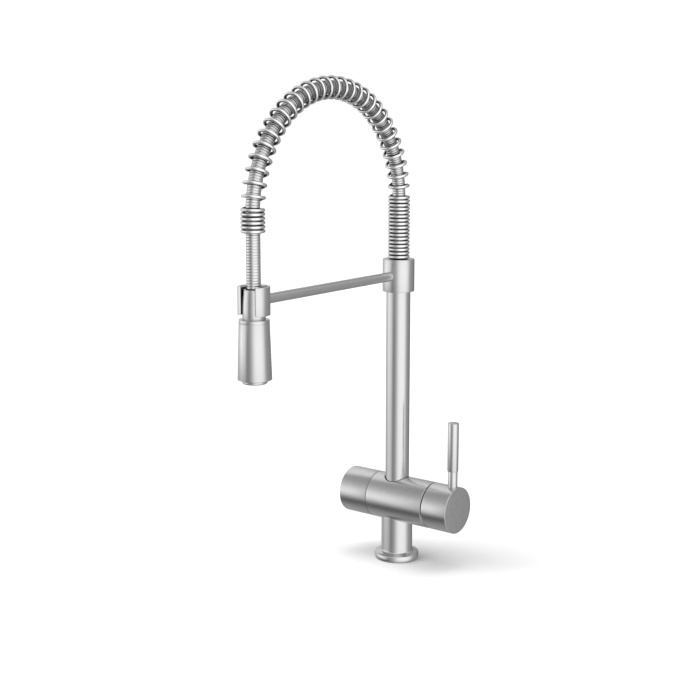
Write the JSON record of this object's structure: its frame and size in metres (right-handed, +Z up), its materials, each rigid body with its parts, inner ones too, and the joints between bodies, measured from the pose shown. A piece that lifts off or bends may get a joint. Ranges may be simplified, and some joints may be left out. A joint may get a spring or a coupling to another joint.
{
  "type": "water filter faucet",
  "caption": "Spring-neck kitchen faucet with a side mixer lever, a second tap for filtered water and a pull-down spray held in an arm's clip.",
  "frame": {"origin": "centre of the foot, on the deck's surface", "axes": "+Z up along the column; -Y towards the person at the sink, where the spray hangs; +X towards the mixer's cap and lever"},
  "size_m": [0.1359, 0.2646, 0.5061],
  "materials": {
    "satin_metal": "satin brushed nickel",
    "spring_steel": "satin nickel-plated spring wire",
    "hose_metal": "satin, finely ribbed",
    "black_plastic": "matt black",
    "nozzle_plastic": "matt grey silicone",
    "seal_rubber": "matt",
    "disc_ceramic": "lapped white ceramic",
    "inner_brass": "machined",
    "screw_steel": "plain stainless steel"
  },
  "bodies": {
    "base": {"base_flange": "satin_metal", "flange_gasket": "seal_rubber", "pedestal": "satin_metal", "inlet_block": "inner_brass", "port_rings": "seal_rubber", "valve_body": "satin_metal", "glide_ring": "black_plastic", "spout_screw": "screw_steel", "cartridge_base": "black_plastic", "cartridge_body": "black_plastic", "cartridge_seals": "seal_rubber", "mixer_fixed_disc": "disc_ceramic", "cartridge_nut": "inner_brass", "trim_dome": "satin_metal", "headwork_body": "inner_brass", "headwork_ring": "seal_rubber", "filter_fixed_disc": "disc_ceramic"},
    "mixer_carrier": {"cartridge_carrier": "black_plastic", "stem_pin": "screw_steel"},
    "mixer_disc": {"mixer_moving_disc": "disc_ceramic", "disc_driver": "black_plastic"},
    "lever": {"cartridge_stem": "inner_brass", "mixer_cap": "satin_metal", "cap_screw": "screw_steel", "lever_stem": "satin_metal", "lever_grip": "satin_metal"},
    "filter_tap": {"filter_spindle": "inner_brass", "filter_turning_disc": "disc_ceramic", "filter_knob": "satin_metal", "knob_screw": "screw_steel"},
    "spout": {"swivel_spigot": "inner_brass", "spigot_rings": "seal_rubber", "column_tube": "satin_metal", "mixed_water_tube": "screw_steel", "filtered_water_tube": "screw_steel", "hose_manifold": "inner_brass", "collar": "satin_metal", "collar_screw": "screw_steel", "spring_seat": "black_plastic", "support_arm": "satin_metal", "arm_screws": "screw_steel", "holder_clip": "satin_metal", "clip_liner": "black_plastic", "main_spring": "spring_steel", "hose_arch": "hose_metal"},
    "hose_end": {"hose_tail": "hose_metal", "hose_ferrule": "inner_brass"},
    "spray_head": {"spray_neck": "satin_metal", "neck_washer": "seal_rubber", "check_valve": "black_plastic", "seam_ring": "satin_metal", "spray_shell": "satin_metal", "spray_face": "black_plastic", "nozzle_plate": "nozzle_plastic", "water_spreader": "black_plastic"}
  },
  "joints": [
    {"name": "spout_swivel", "type": "hinge", "parent": "base", "child": "spout", "pos_m": [0, 0, 0.076], "axis": [0, 0, 1], "continuous": true},
    {"name": "spray_pull", "type": "slide", "parent": "spout", "child": "hose_end", "axis": [0, 0, -1], "range_m": [0, 0.035], "stiffness_N_per_m": 150, "springref_m": -0.04},
    {"name": "spray_turn", "type": "hinge", "parent": "hose_end", "child": "spray_head", "pos_m": [0, -0.22435, 0.2986], "axis": [0, 0, 1], "continuous": true},
    {"name": "mixer_turn", "type": "hinge", "parent": "base", "child": "mixer_carrier", "pos_m": [0.03, 0, 0.0658], "axis": [1, 0, 0], "range_deg": [-45, 45]},
    {"name": "mixer_lift", "type": "hinge", "parent": "mixer_carrier", "child": "lever", "pos_m": [0.046, 0, 0.0658], "axis": [0, 1, 0], "range_deg": [0, 11]},
    {"name": "disc_slide", "type": "slide", "parent": "mixer_carrier", "child": "mixer_disc", "axis": [0, 0, 1], "range_m": [0, 0.0037]},
    {"name": "filter_turn", "type": "hinge", "parent": "base", "child": "filter_tap", "pos_m": [-0.04, 0, 0.0658], "axis": [1, 0, 0], "range_deg": [0, 90]}
  ],
  "couplings": [
    {"joint": "disc_slide", "follows": "mixer_lift", "m_per_rad": 0.0191}
  ]
}
